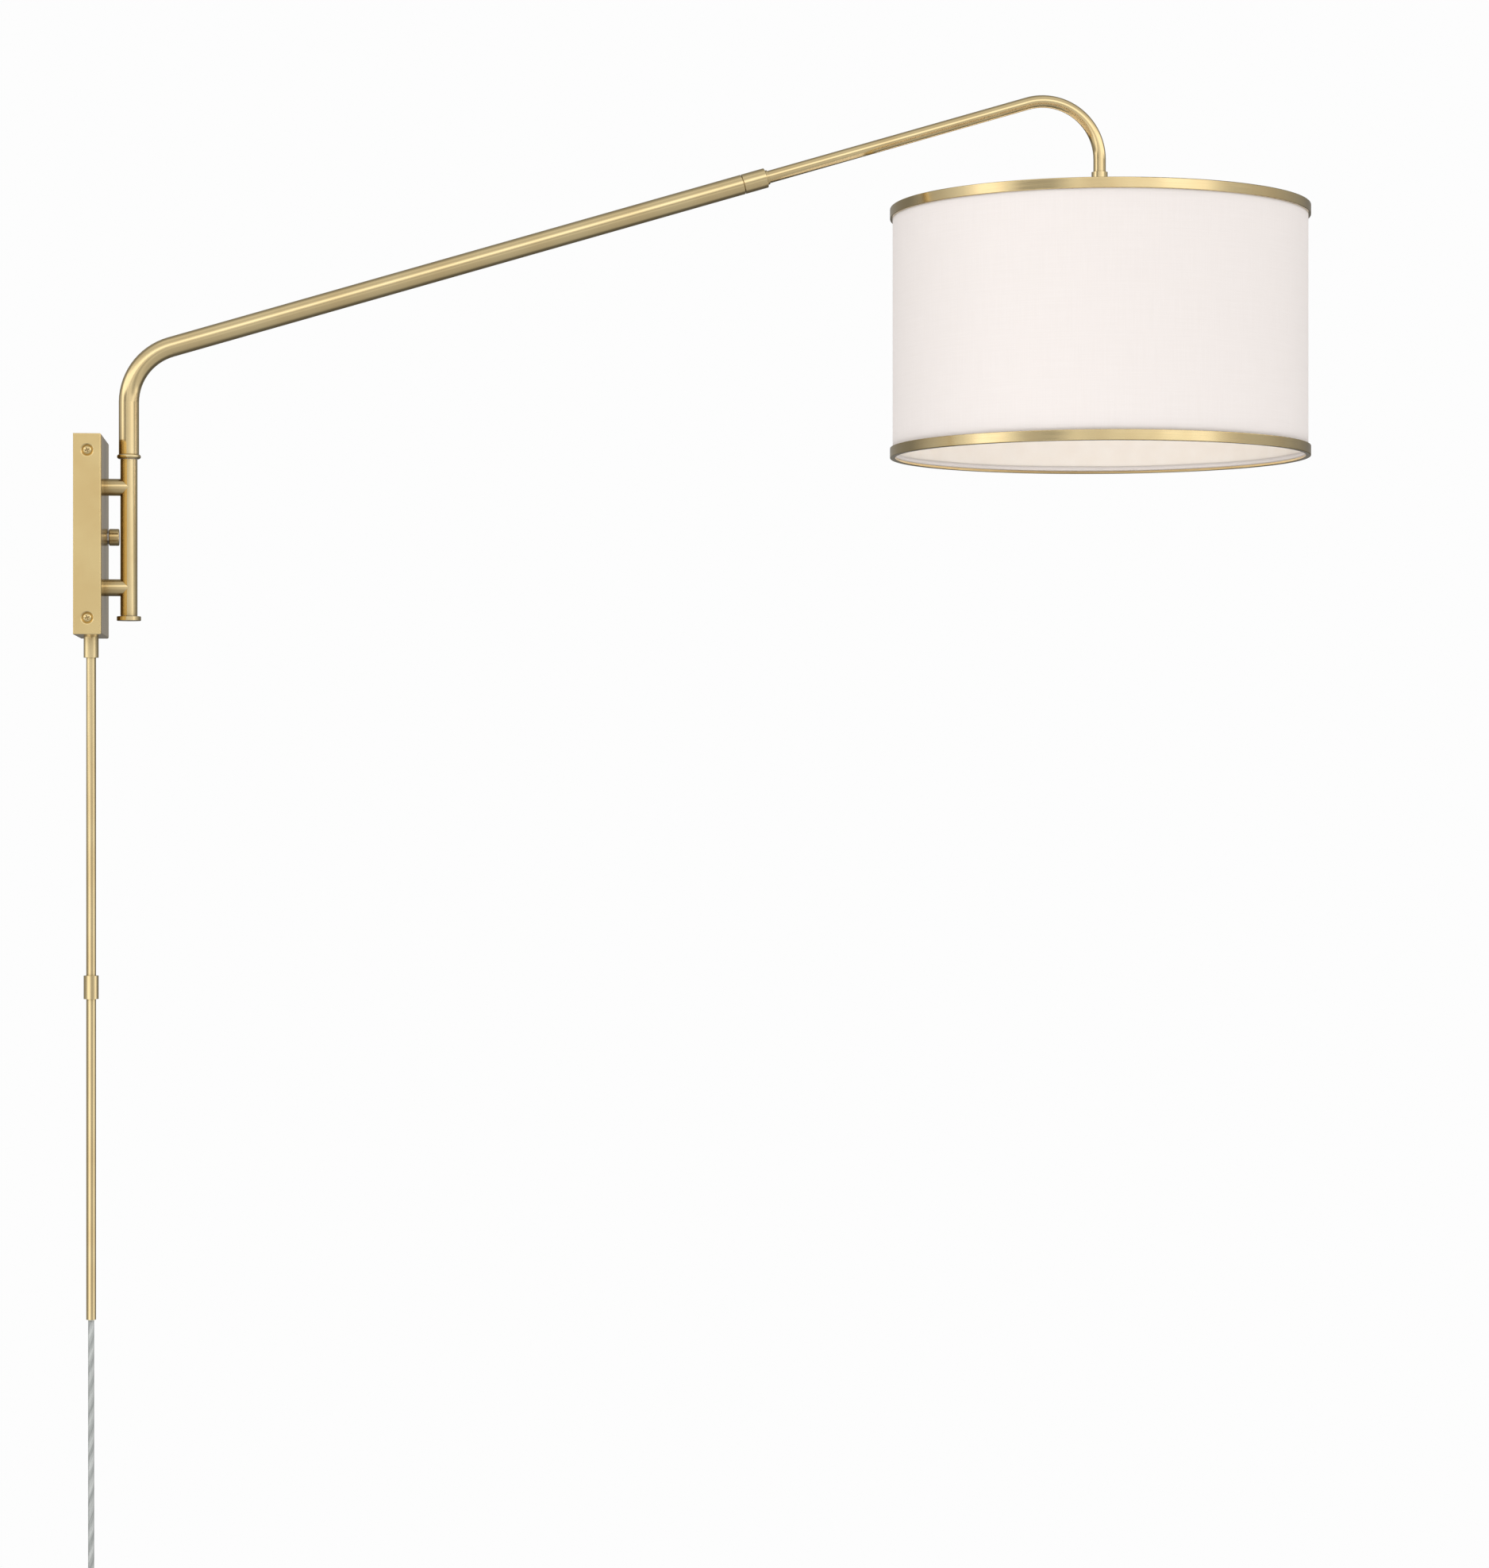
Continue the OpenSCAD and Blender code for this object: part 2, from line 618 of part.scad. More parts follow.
module plug_blades() color(STEEL)
    for (s = [-1, 1]) translate([cord_x - 3.2, plug_y + s * 6.35 - 0.75, plug_top - plug_l - 16])
        cube([6.4, 1.5, 16]);

canopy();
mounting_plate();
canopy_screws();
standoff_nipples();
standoff_nuts();
standoff_washers();
upper_standoff();
lower_standoff();
post_tube();
upper_bush();
lower_bush();
thrust_washers();
switch_body();
switch_nut();
cord_ferrule();
ferrule_nut();
cord_clamp();
supply_leads();
lamp_lead();
wire_connectors();
cord_cover_upper();
cover_coupling();
cord_cover_lower();
cover_end_bush();
captive_cord();
free_cord();
cord_tail();
cord_hank();
hank_tie();
plug_body();
plug_blades();
switch_knob();
switch_shaft();
hinge_spindle();
hinge_ring();
bottom_flange();
flange_screw();
arm_tube();
spindle_sleeve();
collar_seat();
collet();
arm_wire();
lock_collar();
slide_tube();
tube_guide();
tube_insert();
neck_ferrule();
neck_nipple();
spider();
spider_nut();
socket_cap();
socket_husk();
socket_base();
socket_shell();
socket_contact();
slide_wire();
top_band();
bottom_band();
shade_fabric();
shade_liner();
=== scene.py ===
"""Looks for the swing arm wall sconce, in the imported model's frame: +X out from the wall, +Z up.
Shapes are given in millimetres, and the camera, lights and floor in metres."""
import math
import bpy
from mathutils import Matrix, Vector


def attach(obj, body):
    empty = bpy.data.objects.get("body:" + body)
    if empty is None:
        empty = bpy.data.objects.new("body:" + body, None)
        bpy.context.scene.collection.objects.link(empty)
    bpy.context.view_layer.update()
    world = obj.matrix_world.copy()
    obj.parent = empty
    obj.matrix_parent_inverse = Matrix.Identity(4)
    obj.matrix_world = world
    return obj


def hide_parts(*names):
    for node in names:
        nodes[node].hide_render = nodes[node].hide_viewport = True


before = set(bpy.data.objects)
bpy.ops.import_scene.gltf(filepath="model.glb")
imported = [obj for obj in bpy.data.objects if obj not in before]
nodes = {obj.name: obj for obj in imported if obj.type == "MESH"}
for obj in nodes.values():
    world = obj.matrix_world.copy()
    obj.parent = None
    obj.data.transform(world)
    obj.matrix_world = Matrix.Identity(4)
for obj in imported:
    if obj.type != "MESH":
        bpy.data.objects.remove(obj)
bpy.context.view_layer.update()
scene = bpy.context.scene
mm = 0.001

# ---------- measures the looks and the shapes share, in millimetres and degrees ----------

SLOPE = 16.55
ALONG_ARM = 90 - SLOPE
POST_X = 48.3
SHADE_X = 977.5
SHADE_R = 200
CORD_X = 13
CORD_R = 2.8


def place(obj):
    scene.collection.objects.link(obj)
    return obj


def smooth(t):
    """From 0 to 1 with no kink, for t from 0 to 1."""
    t = min(1, max(0, t))
    return t * t * (3 - 2 * t)


# ---------- camera, held level ----------

CAMERA_PLACE = (0.26493, -3.81779, -0.2327)
CAMERA_TURN = -5.5
FOCAL_LENGTH = 96.72

camera_data = bpy.data.cameras.new("camera")
camera_data.sensor_fit = "HORIZONTAL"
camera_data.sensor_width = 36
camera_data.lens = FOCAL_LENGTH
camera_data.clip_end = 50
camera = place(bpy.data.objects.new("camera", camera_data))
camera.location = CAMERA_PLACE
camera.rotation_euler = (math.radians(90), 0, math.radians(CAMERA_TURN))
scene.camera = camera

# ---------- shader helpers ----------

# The Mix node has one set of sockets for each data type, told apart by number only
MIX_FACTOR = 0
MIX_FLOATS = (2, 3)
MIX_COLORS = (6, 7)
MIX_COLOR_OUT = 2


def node(tree, kind, inputs=None, **settings):
    """A shader node. Each of inputs is a value, or the output that feeds that socket."""
    made = tree.nodes.new("ShaderNode" + kind)
    for key, value in settings.items():
        setattr(made, key, value)
    for socket, value in (inputs or {}).items():
        if isinstance(value, bpy.types.NodeSocket):
            tree.links.new(value, made.inputs[socket])
        else:
            made.inputs[socket].default_value = value
    return made


def maths(tree, operation, a, b=0.0):
    return node(tree, "Math", {0: a, 1: b}, operation=operation).outputs[0]


def noise(tree, vector, scale=1.0, detail=2.0):
    return node(tree, "TexNoise", {"Vector": vector, "Scale": scale, "Detail": detail}).outputs["Fac"]


def spread(tree, value, low, high, to_low=0.0, to_high=1.0):
    """value from low to high, stretched to the range from to_low to to_high and held at its ends."""
    inputs = {"Value": value, "From Min": low, "From Max": high, "To Min": to_low, "To Max": to_high}
    return node(tree, "MapRange", inputs).outputs["Result"]


def blend_color(tree, factor, a, b):
    mix = node(tree, "Mix", {MIX_FACTOR: factor, MIX_COLORS[0]: a, MIX_COLORS[1]: b}, data_type="RGBA")
    return mix.outputs[MIX_COLOR_OUT]


def rgb(r, g, b):
    return (r, g, b, 1)


def dimmed(color, shares):
    """color with that share left of its red, green and blue."""
    return rgb(*(c * share for c, share in zip(color, shares)))


def new_material(name, sockets):
    """A material with one Principled shader, whose sockets are set by name."""
    material = bpy.data.materials.new(name)
    material.use_nodes = True
    tree = material.node_tree
    shader = tree.nodes["Principled BSDF"]
    for socket, value in sockets.items():
        shader.inputs[socket].default_value = value
    return material, tree, shader


def add_bump(tree, shader, height, depth, strength=1.0, normal=None):
    """Bump of that depth in millimetres."""
    inputs = {"Height": height, "Distance": depth * mm, "Strength": strength}
    if normal is not None:
        inputs["Normal"] = normal
    tree.links.new(node(tree, "Bump", inputs).outputs[0], shader.inputs["Normal"])


def object_place(tree):
    return node(tree, "TexCoord").outputs["Object"]


def streaks_along(tree, turn, fine=0.6, long=40.0):
    """Brushing along Z turned about Y, in streaks fine millimetres wide and long millimetres long."""
    scale = (fine * mm, fine * mm, long * mm)
    grain = node(tree, "Mapping", {"Vector": object_place(tree), "Rotation": (0, math.radians(turn), 0),
                                   "Scale": scale}, vector_type="TEXTURE").outputs[0]
    return noise(tree, grain, 1.0, 3.0)


def streaks_turning(tree, low, high, low_turn, high_turn):
    """Brushing that turns from one direction to another between x = low and x = high, in millimetres,
    as on a bent tube."""
    east = node(tree, "SeparateXYZ", {0: object_place(tree)}).outputs[0]
    inputs = {MIX_FACTOR: spread(tree, east, low * mm, high * mm),
              MIX_FLOATS[0]: streaks_along(tree, low_turn), MIX_FLOATS[1]: streaks_along(tree, high_turn)}
    return node(tree, "Mix", inputs).outputs[0]


def round_axis(tree, x):
    """(angle, radius, height) round the vertical axis through x millimetres and y = 0."""
    apart = node(tree, "SeparateXYZ", {0: object_place(tree)}).outputs
    east = maths(tree, "SUBTRACT", apart[0], x * mm)
    north = apart[1]
    radius = maths(tree, "SQRT", maths(tree, "ADD", maths(tree, "MULTIPLY", east, east),
                                       maths(tree, "MULTIPLY", north, north)))
    return maths(tree, "ARCTAN2", north, east), radius, apart[2]


def streaks_round(tree, x, size, fine, long):
    """Brushing round the vertical axis through x, on something of radius size, all in millimetres."""
    angle, radius, height = round_axis(tree, x)
    inputs = {0: maths(tree, "MULTIPLY", angle, size / long),
              1: maths(tree, "DIVIDE", radius, fine * mm), 2: maths(tree, "DIVIDE", height, fine * mm)}
    return noise(tree, node(tree, "CombineXYZ", inputs).outputs[0], 1.0, 3.0)


# ---------- materials ----------

POLISHED_BRASS = (0.87, 0.70, 0.39)
RUBBED_BRASS = (0.93, 0.79, 0.50)
# The share of the colour left where brass is aged or streaked, and where painted shade darkens it near other
# parts
AGED = (0.93, 0.89, 0.84)
STREAKED = (0.82, 0.76, 0.7)
OCCLUSION_SHADE = (0.45, 0.4, 0.3)
# How near another part must be to darken the brass with painted shade, in millimetres
OCCLUSION_SHADE_REACH = 40
STREAK_DEPTH = 0.002
STREAK_STRENGTH = 0.25


def brass(name, brushing, roughness, color=POLISHED_BRASS, edge=0):
    """Satin brass, softly aged, with painted shade where other parts are near. brushing makes its streaks in
    the material's node tree. Edges within edge millimetres are eased and rubbed brighter."""
    material, tree, shader = new_material(name, {"Metallic": 1.0})
    streaks = brushing(tree)
    patches = noise(tree, object_place(tree), 22.0, 3.0)
    aged = blend_color(tree, spread(tree, patches, 0.4, 0.7), rgb(*color), dimmed(color, AGED))
    tone = blend_color(tree, spread(tree, streaks, 0.35, 0.75, 0, 0.2), aged, dimmed(color, STREAKED))
    eased = None
    if edge:
        eased = node(tree, "Bevel", {"Radius": edge * mm}, samples=12).outputs[0]
        flat = node(tree, "NewGeometry").outputs["Normal"]
        bent = node(tree, "VectorMath", {0: eased, 1: flat}, operation="DOT_PRODUCT").outputs["Value"]
        tone = blend_color(tree, spread(tree, bent, 0.99, 0.93, 0, 0.5), tone, rgb(*RUBBED_BRASS))
    # Painted shade: ambient occlusion darkens the brass where other parts are near
    occlusion_shade = node(tree, "AmbientOcclusion", {"Distance": OCCLUSION_SHADE_REACH * mm}, samples=8).outputs["AO"]
    tone = blend_color(tree, spread(tree, occlusion_shade, 0.9, 0.3, 0, 0.9), tone, dimmed(color, OCCLUSION_SHADE))
    tree.links.new(tone, shader.inputs["Base Color"])
    tree.links.new(spread(tree, streaks, 0.25, 0.75, roughness - 0.03, roughness + 0.05),
                   shader.inputs["Roughness"])
    add_bump(tree, shader, streaks, STREAK_DEPTH, STREAK_STRENGTH, eased)
    return material


def cast(name, color, roughness, metallic, scale, depth, shift=0.75, sockets=None):
    """Moulded, cast or plated stuff: a colour that varies a little, and a fine grain."""
    material, tree, shader = new_material(name, {"Metallic": metallic, **(sockets or {})})
    grain = noise(tree, object_place(tree), scale, 3.0)
    patches = noise(tree, object_place(tree), scale / 14, 2.0)
    darker = dimmed(color, (shift, shift, shift))
    tree.links.new(blend_color(tree, spread(tree, patches, 0.3, 0.75), rgb(*color), darker),
                   shader.inputs["Base Color"])
    tree.links.new(spread(tree, grain, 0.3, 0.7, roughness - 0.07, roughness + 0.07),
                   shader.inputs["Roughness"])
    add_bump(tree, shader, grain, depth)
    return material


def plated_steel():
    """Zinc plate: pale crystals that differ a little in tone."""
    material, tree, shader = new_material("zinc_plated_steel", {"Metallic": 1.0})
    crystals = node(tree, "TexVoronoi", {"Vector": object_place(tree), "Scale": 500.0}).outputs["Color"]
    tone = node(tree, "SeparateColor", {0: crystals}).outputs[0]
    tree.links.new(blend_color(tree, tone, rgb(0.58, 0.60, 0.63), rgb(0.70, 0.70, 0.71)),
                   shader.inputs["Base Color"])
    tree.links.new(spread(tree, tone, 0, 1, 0.26, 0.4), shader.inputs["Roughness"])
    add_bump(tree, shader, noise(tree, object_place(tree), 1500.0), 0.004)
    return material


def translucent(tree, shader, color, share):
    """Lets part of the light through, as a thin shade does."""
    through = node(tree, "BsdfTranslucent", {"Color": color})
    mix = node(tree, "MixShader", {0: share, 1: shader.outputs[0], 2: through.outputs[0]})
    tree.links.new(mix.outputs[0], tree.nodes["Material Output"].inputs["Surface"])


THREAD_PITCH = 0.5
SLUB_WIDTH = 1.2
THROUGH_SHADE = 0.3


def shade_cloth():
    """Fine plain weave with slubs."""
    material, tree, shader = new_material("shade_cloth", {"Roughness": 0.9, "Sheen Weight": 0.15,
                                                          "Sheen Roughness": 0.5, "Specular IOR Level": 0.2})
    angle, _, height = round_axis(tree, SHADE_X)
    along = maths(tree, "MULTIPLY", angle, SHADE_R * mm)
    per_thread = math.pi / (THREAD_PITCH * mm)
    warp = maths(tree, "SINE", maths(tree, "MULTIPLY", along, per_thread))
    weft = maths(tree, "SINE", maths(tree, "MULTIPLY", height, per_thread))
    weave = maths(tree, "MULTIPLY", warp, weft)
    upright = node(tree, "CombineXYZ", {0: maths(tree, "DIVIDE", along, SLUB_WIDTH * mm),
                                        1: maths(tree, "DIVIDE", height, 45 * mm)}).outputs[0]
    level = node(tree, "CombineXYZ", {0: maths(tree, "DIVIDE", along, 60 * mm),
                                      1: maths(tree, "DIVIDE", height, SLUB_WIDTH * mm)}).outputs[0]
    slubs = maths(tree, "ADD", noise(tree, upright), noise(tree, level))
    cream = blend_color(tree, spread(tree, slubs, 0.8, 1.2), rgb(0.865, 0.822, 0.80),
                        rgb(0.85, 0.806, 0.782))
    tone = blend_color(tree, spread(tree, weave, -1, 1, 0, 0.12), cream, rgb(0.75, 0.706, 0.68))
    tree.links.new(tone, shader.inputs["Base Color"])
    add_bump(tree, shader, maths(tree, "ADD", weave, maths(tree, "MULTIPLY", slubs, 2)), 0.05, 0.5)
    translucent(tree, shader, tone, THROUGH_SHADE)
    return material


def shade_lining():
    """Smooth warm white styrene, faintly mottled."""
    material, tree, shader = new_material("shade_lining", {"Specular IOR Level": 0.35})
    mottle = noise(tree, object_place(tree), 60.0, 3.0)
    tone = blend_color(tree, spread(tree, mottle, 0.3, 0.7), rgb(0.97, 0.92, 0.86), rgb(0.95, 0.89, 0.82))
    tree.links.new(tone, shader.inputs["Base Color"])
    tree.links.new(spread(tree, mottle, 0.3, 0.7, 0.42, 0.55), shader.inputs["Roughness"])
    add_bump(tree, shader, noise(tree, object_place(tree), 250.0), 0.02)
    translucent(tree, shader, tone, THROUGH_SHADE)
    return material


def clear_cord():
    """Clear PVC over two twisted bundles of tinned wire. The piece's twist attribute follows the bundles."""
    material, tree, shader = new_material("clear_cord", {"Metallic": 0.25, "Coat Weight": 0.7,
                                                         "Coat Roughness": 0.12})
    twist = node(tree, "Attribute", attribute_name="twist").outputs["Vector"]
    across = node(tree, "SeparateXYZ", {0: twist}).outputs[0]
    bundles = maths(tree, "MULTIPLY", across, across)
    strands = noise(tree, node(tree, "VectorMath", {0: twist, 1: (3.0, 3.0, 25.0)},
                               operation="MULTIPLY").outputs[0], 1.0, 4.0)
    light = maths(tree, "ADD", maths(tree, "MULTIPLY", bundles, 0.45), strands)
    tone = blend_color(tree, spread(tree, light, 0.35, 1.0), rgb(0.2, 0.212, 0.204), rgb(0.42, 0.434, 0.42))
    tree.links.new(tone, shader.inputs["Base Color"])
    tree.links.new(spread(tree, strands, 0.3, 0.7, 0.28, 0.42), shader.inputs["Roughness"])
    add_bump(tree, shader, light, 0.08, 0.4)
    return material


def hook_strap():
    """Woven hook-and-loop tape."""
    material, tree, shader = new_material("hook_strap", {"Roughness": 0.95, "Sheen Weight": 0.3,
                                                         "Sheen Roughness": 0.6})
    fuzz = noise(tree, object_place(tree), 2600.0, 3.0)
    rows = node(tree, "TexWave", {"Vector": object_place(tree), "Scale": 260.0, "Distortion": 1.5},
                bands_direction="Z").outputs["Fac"]
    tree.links.new(blend_color(tree, fuzz, rgb(0.008, 0.008, 0.009), rgb(0.04, 0.04, 0.042)),
                   shader.inputs["Base Color"])
    add_bump(tree, shader, maths(tree, "ADD", fuzz, rows), 0.15)
    return material


# Where the arm bends out of the post, and where the gooseneck bends down
ARM_BEND = (55, 88)
NECK_BEND = (930, 970)
TUBE_ROUGHNESS = 0.13
TURNED_ROUGHNESS = 0.14
TURNED_R = 10
CANOPY_BRASS = (0.86, 0.665, 0.325)
CANOPY_EDGE = 1.0

upright_brass = brass("brass_upright", lambda tree: streaks_along(tree, 0), TUBE_ROUGHNESS)
slanted_brass = brass("brass_slanted", lambda tree: streaks_along(tree, ALONG_ARM), TUBE_ROUGHNESS)
arm_brass = brass("brass_arm", lambda tree: streaks_turning(tree, *ARM_BEND, 0, ALONG_ARM), TUBE_ROUGHNESS)
slide_brass = brass("brass_slide", lambda tree: streaks_turning(tree, *NECK_BEND, ALONG_ARM, 0),
                    TUBE_ROUGHNESS)
level_brass = brass("brass_level", lambda tree: streaks_along(tree, 90), TURNED_ROUGHNESS)
sheet_brass = brass("brass_sheet", lambda tree: streaks_along(tree, 0, 0.5, 25), 0.18, CANOPY_BRASS,
                    CANOPY_EDGE)
band_brass = brass("brass_band", lambda tree: streaks_round(tree, SHADE_X, SHADE_R, 0.6, 40), 0.15)
turned_brass = brass("brass_turned", lambda tree: streaks_round(tree, POST_X, TURNED_R, 0.4, 8),
                     TURNED_ROUGHNESS)
steel = plated_steel()
bronze = cast("sintered_bronze", (0.50, 0.32, 0.14), 0.42, 1.0, 2400.0, 0.02)
nylon = cast("nylon", (0.85, 0.84, 0.80), 0.45, 0.0, 900.0, 0.01, 0.93)
black_plastic = cast("black_plastic", (0.018, 0.018, 0.019), 0.42, 0.0, 1800.0, 0.02)
orange_plastic = cast("connector_plastic", (0.72, 0.20, 0.02), 0.32, 0.0, 700.0, 0.01, 0.85)
clear_pvc = cast("clear_pvc", (0.40, 0.412, 0.40), 0.22, 0.0, 500.0, 0.01, 0.88,
                 {"Coat Weight": 0.7, "Coat Roughness": 0.12})
cord_look = clear_cord()
strap_look = hook_strap()
cloth_look = shade_cloth()
lining_look = shade_lining()

LOOKS = {
    upright_brass: ["post_tube", "cord_cover_upper", "cord_cover_lower", "cord_ferrule", "cover_coupling",
                    "neck_ferrule", "socket_cap"],
    slanted_brass: ["lock_collar", "collar_seat", "collet"],
    arm_brass: ["arm_tube"],
    slide_brass: ["slide_tube"],
    level_brass: ["upper_standoff", "lower_standoff", "switch_knob", "spider", "socket_contact"],
    sheet_brass: ["canopy", "canopy_screws"],
    band_brass: ["top_band", "bottom_band", "socket_shell"],
    turned_brass: ["hinge_ring", "bottom_flange", "flange_screw"],
    steel: ["mounting_plate", "standoff_nipples", "standoff_nuts", "standoff_washers", "switch_nut",
            "ferrule_nut", "switch_shaft", "hinge_spindle", "spindle_sleeve", "tube_insert", "neck_nipple",
            "spider_nut", "plug_blades"],
    bronze: ["upper_bush", "lower_bush"],
    nylon: ["thrust_washers", "cord_clamp", "cover_end_bush", "tube_guide"],
    black_plastic: ["switch_body", "socket_husk", "socket_base", "arm_wire", "slide_wire", "lamp_lead"],
    orange_plastic: ["wire_connectors"],
    clear_pvc: ["supply_leads", "captive_cord", "free_cord", "cord_tail", "cord_hank", "plug_body"],
    strap_look: ["hank_tie"],
    cloth_look: ["shade_fabric"],
    lining_look: ["shade_liner"],
}
for look, names in LOOKS.items():
    for name in names:
        for material_slot in nodes[name].material_slots:
            material_slot.material = look

# ---------- mesh helpers, in millimetres ----------


def grid_piece(name, rows, look, body, wrap=True, caps=False, loop=False):
    """A smooth piece through rows of points. wrap closes each row, loop joins the last row to the first,
    and caps close both ends."""
    count = len(rows[0])
    vertices = [tuple(c * mm for c in point) for row in rows for point in row]
    columns = count if wrap else count - 1
    spans = len(rows) if loop else len(rows) - 1
    faces = []
    for i in range(spans):
        this_row = i * count
        next_row = (i + 1) % len(rows) * count
        for j in range(columns):
            k = (j + 1) % count
            faces.append((this_row + j, this_row + k, next_row + k, next_row + j))
    if caps:
        faces.append(tuple(range(count - 1, -1, -1)))
        faces.append(tuple(range((len(rows) - 1) * count, len(rows) * count)))
    mesh = bpy.data.meshes.new(name)
    mesh.from_pydata(vertices, [], faces)
    mesh.polygons.foreach_set("use_smooth", [len(face) == 4 for face in faces])
    mesh.materials.append(look)
    piece = place(bpy.data.objects.new(name, mesh))
    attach(piece, body)
    return piece


def thicken(piece, thickness, offset):
    """Gives a sheet its thickness in millimetres; offset is -1 for inwards and 1 for outwards."""
    solidify = piece.modifiers.new("thickness", "SOLIDIFY")
    solidify.thickness = thickness * mm
    solidify.offset = offset


# ---------- the cord ----------

CORD_SIDES = 18
TWIST_PITCH = 42
COVER_END = -738
FOLD_TOP = -1026
FOLD_BOTTOM = -1104
PLUG_TOP = -1135
# The stretch that isn't folded, from the cover's end
FREE_ROUTE = [(0, 0, z) for z in range(COVER_END, -977, -14)] + [
    (0.6, -1, -983.8), (1.9, -4.1, -991.1), (3.5, -8.9, -997.4), (5, -14.9, -1002.6),
    (5.8, -19.7, -1008.9), (5.8, -22.8, -1016.2), (5.8, -23.8, -1024)]
# Each turn of the hank: radius of its folds, its place along X, and how far up the rising run
# it starts to move over to the next turn's place
LANES = [(23.8, 18.8, 78), (18, 18.8, 52), (18, 13, 52), (18, 7.2, 26), (23.8, 7.2, 0), (23.8, 13, 0)]
MOVE_L = 52
MIDDLE_FOLD_R = 21
RUN_STEPS = 9
FOLD_STEPS = 8
PLUG_X = LANES[-1][1]
PLUG_Y = -LANES[-1][0]


def hank_route():
    """Down the -Y run, round the lower fold, up the +Y run and over the upper fold, for each turn."""
    run = FOLD_TOP - FOLD_BOTTOM
    points = []
    for turn, (r, x, move_start) in enumerate(LANES):
        first = 2 if turn == 0 else 1
        points += [(x, -r, FOLD_TOP - run * k / RUN_STEPS) for k in range(first, RUN_STEPS + 1)]
        if turn == len(LANES) - 1:
            break
        for k in range(1, FOLD_STEPS + 1):
            a = math.pi * k / FOLD_STEPS
            points.append((x, -r * math.cos(a), FOLD_BOTTOM - r * math.sin(a)))
        next_r, next_x, _ = LANES[turn + 1]
        for k in range(1, RUN_STEPS + FOLD_STEPS + 1):
            a = math.pi * max(0, k - RUN_STEPS) / FOLD_STEPS
            up = run * min(1, k / RUN_STEPS)
            moved = smooth((up + MIDDLE_FOLD_R * a - move_start) / MOVE_L)
            fold_r = r + (next_r - r) * moved
            points.append((x + (next_x - x) * moved, fold_r * math.cos(a),
                           FOLD_BOTTOM + up + fold_r * math.sin(a)))
    return points


def rounded(points, steps):
    """The points of a smooth curve through points."""
    points = [Vector(p) for p in points]
    before = [points[0] * 2 - points[1]] + points
    after = points + [points[-1] * 2 - points[-2]]
    fine = []
    for i in range(len(points) - 1):
        a, b, c, d = before[i], points[i], points[i + 1], after[i + 2]
        for k in range(steps):
            t = k / steps
            fine.append(0.5 * (2 * b + (c - a) * t + (2 * a - 5 * b + 4 * c - d) * t ** 2
                               + (3 * b - a - 3 * c + d) * t ** 3))
    return fine + [points[-1]]


def tube_rows(path, radius, sides):
    """Rings along path, each turned as little as possible from the one before."""
    rows = []
    side = Vector((1, 0, 0))
    for i, point in enumerate(path):
        ahead = (path[min(i + 1, len(path) - 1)] - path[max(i - 1, 0)]).normalized()
        side = (side - ahead * side.dot(ahead)).normalized()
        other = ahead.cross(side)
        turns = [math.tau * k / sides for k in range(sides)]
        rows.append([point + radius * (side * math.cos(a) + other * math.sin(a)) for a in turns])
    return rows


free_run = [(CORD_X + x, y, z) for x, y, z in FREE_ROUTE]
plug_end = [(PLUG_X, PLUG_Y, z) for z in (-1112, -1120, -1128, PLUG_TOP)]
cord_path = rounded(free_run + hank_route() + plug_end, 3)
cord = grid_piece("power_cord", tube_rows(cord_path, CORD_R, CORD_SIDES), cord_look, "wall_bracket",
                  caps=True)
twist = cord.data.attributes.new("twist", "FLOAT_VECTOR", "POINT")
along_cord = 0
for i, point in enumerate(cord_path):
    along_cord += (point - cord_path[max(i - 1, 0)]).length
    for k in range(CORD_SIDES):
        a = math.tau * (k / CORD_SIDES - along_cord / TWIST_PITCH)
        twist.data[i * CORD_SIDES + k].vector = (math.cos(a), math.sin(a), along_cord * mm)
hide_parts("free_cord", "cord_hank", "cord_tail")

# ---------- the plug and the hank's tie ----------

PLUG_FACE = -34
BOOT_RIB = 0.35
GRIP_GROOVE = 0.7


def boot_part(k):
    """One of the rings, from the top down, of the plug's tapered and ribbed boot."""
    radius = 3.5 + 0.09 * k + BOOT_RIB * (k % 2)
    return 19 - 1.4 * k, radius, radius


# The moulded plug's outline: height above its top, half width along Y and half thickness along X
PLUG_OUTLINE = [(20, 3.1, 3.1)] + [boot_part(k) for k in range(13)] + [
    (0, 4.9, 4.8), (-2, 5.6, 5.1), (-5, 7.6, 5.5), (-9, 11, 5.8), (-13, 13.6, 5.9), (-16, 14.4, 6)] + [
    (-17 - 1.2 * k, 14.5, 6 - GRIP_GROOVE * (k % 2)) for k in range(10)] + [
    (-30, 14.5, 6), (-32.8, 14.4, 5.9), (-33.6, 14, 5.5), (PLUG_FACE, 13.2, 4.7)]


def plug_ring(height, half_y, half_x, steps=40):
    """An oval that is squarer the wider it is."""
    power = 2 / (2 + 1.4 * smooth((half_y - 5) / 9))
    ring = []
    for k in range(steps):
        c, s = math.cos(math.tau * k / steps), math.sin(math.tau * k / steps)
        ring.append((PLUG_X + half_x * math.copysign(abs(c) ** power, c),
                     PLUG_Y + half_y * math.copysign(abs(s) ** power, s), PLUG_TOP + height))
    return ring


plug = grid_piece("moulded_plug", [plug_ring(*part) for part in PLUG_OUTLINE], clear_pvc, "wall_bracket",
                  caps=True)
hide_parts("plug_body")

BLADE_SPACING = 12.7
BLADE_HALF_WIDTH = 3
BLADE_HALF_THICKNESS = 0.75
BLADE_EDGE = 0.2


def arc(middle, radius, start, sweep, steps):
    """Points of an arc round (0, middle), from angle start through sweep."""
    angles = [start + sweep * k / steps for k in range(steps + 1)]
    return [(radius * math.cos(a), middle + radius * math.sin(a)) for a in angles]


